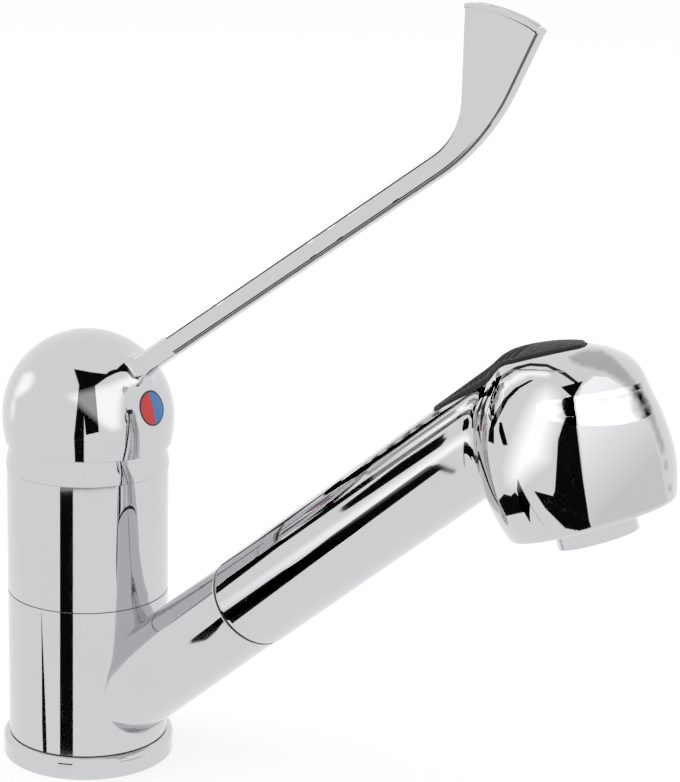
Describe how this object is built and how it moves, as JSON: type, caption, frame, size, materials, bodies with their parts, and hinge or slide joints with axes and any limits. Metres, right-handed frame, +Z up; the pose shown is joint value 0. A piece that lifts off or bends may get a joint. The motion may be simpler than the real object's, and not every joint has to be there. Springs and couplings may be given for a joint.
{
  "type": "pull-out mixer tap",
  "caption": "Single-lever kitchen mixer with a swivelling body, an inclined branch, a pull-out handset with a selector pad and an aerator, and a long blade lever on a ball-shaped cap.",
  "frame": {"origin": "centre of the base ring's underside, on the deck", "axes": "+Z up; +X the way the branch, handset and lever point; +Y on the right for someone in front of the tap who looks back along -X"},
  "size_m": [0.2378, 0.0558, 0.2576],
  "materials": {
    "chrome": "polished chrome plate",
    "brass": "turned brass",
    "rubber": "matt black rubber",
    "white_plastic": "moulded white plastic",
    "black_plastic": "moulded black plastic",
    "grey_plastic": "moulded grey plastic",
    "ceramic": "lapped white ceramic",
    "steel": "plain stainless steel",
    "red_plastic": "red index",
    "blue_plastic": "blue index"
  },
  "bodies": {
    "base": {"base_ring": "chrome", "base_gasket": "rubber", "base_plate": "brass", "lower_slide_ring": "white_plastic", "upper_slide_ring": "white_plastic", "valve_body": "chrome", "swivel_stop_pin": "brass", "cartridge_base": "white_plastic", "cartridge_seals": "rubber", "cartridge_housing": "white_plastic", "cartridge_nut": "brass", "fixed_disc": "ceramic", "collar_ring": "chrome"},
    "swivel": {"swivel_body": "chrome", "guide_bush": "white_plastic"},
    "rotor": {"cartridge_rotor": "white_plastic", "pivot_pin": "steel"},
    "disc": {"moving_disc": "ceramic", "disc_carrier": "white_plastic"},
    "lever": {"lever_handle": "chrome", "lever_spindle": "steel", "grub_screw": "steel", "index_plug": "black_plastic", "index_red": "red_plastic", "index_blue": "blue_plastic"},
    "handset": {"handset_shell": "chrome", "inlet_connector": "brass", "docking_o_ring": "rubber", "connector_seal": "rubber", "check_valve_body": "white_plastic", "check_spring": "steel", "waterway_tube": "black_plastic", "diverter_body": "black_plastic", "selector_spring": "steel", "chamber_cover": "black_plastic", "cover_screws": "steel", "spray_face": "grey_plastic", "nozzle_mat": "rubber", "aerator_housing": "chrome", "aerator_insert": "white_plastic", "aerator_mesh": "steel", "aerator_seal": "rubber"},
    "poppet": {"check_poppet": "white_plastic"},
    "selector": {"selector_pad": "rubber", "pad_carrier": "black_plastic", "diverter_spool": "black_plastic", "spool_seals": "rubber"}
  },
  "joints": [
    {"name": "body_swivel", "type": "hinge", "parent": "base", "child": "swivel", "pos_m": [0, 0, 0.03], "axis": [0, 0, 1], "range_deg": [-60, 60]},
    {"name": "lever_turn", "type": "hinge", "parent": "base", "child": "rotor", "pos_m": [0, 0, 0.09], "axis": [0, 0, 1], "range_deg": [-50, 50]},
    {"name": "lever_lift", "type": "hinge", "parent": "rotor", "child": "lever", "pos_m": [0, 0, 0.098], "axis": [0, -1, 0], "range_deg": [0, 24]},
    {"name": "disc_slide", "type": "slide", "parent": "rotor", "child": "disc", "axis": [1, 0, 0], "range_m": [0, 0.00595]},
    {"name": "handset_pull", "type": "slide", "parent": "swivel", "child": "handset", "axis": [0.7667, 0, 0.642], "range_m": [0, 0.2]},
    {"name": "valve_lift", "type": "slide", "parent": "handset", "child": "poppet", "axis": [0.7667, 0, 0.642], "range_m": [0, 0.003], "stiffness_N_per_m": 60, "springref_m": -0.004, "deforming": ["check_spring"]},
    {"name": "selector_press", "type": "slide", "parent": "handset", "child": "selector", "axis": [0.4741, 0, -0.8805], "range_m": [0, 0.0018], "stiffness_N_per_m": 600, "springref_m": -0.004, "deforming": ["selector_spring"]}
  ],
  "couplings": [
    {"joint": "disc_slide", "follows": "lever_lift", "m_per_rad": 0.014177}
  ]
}
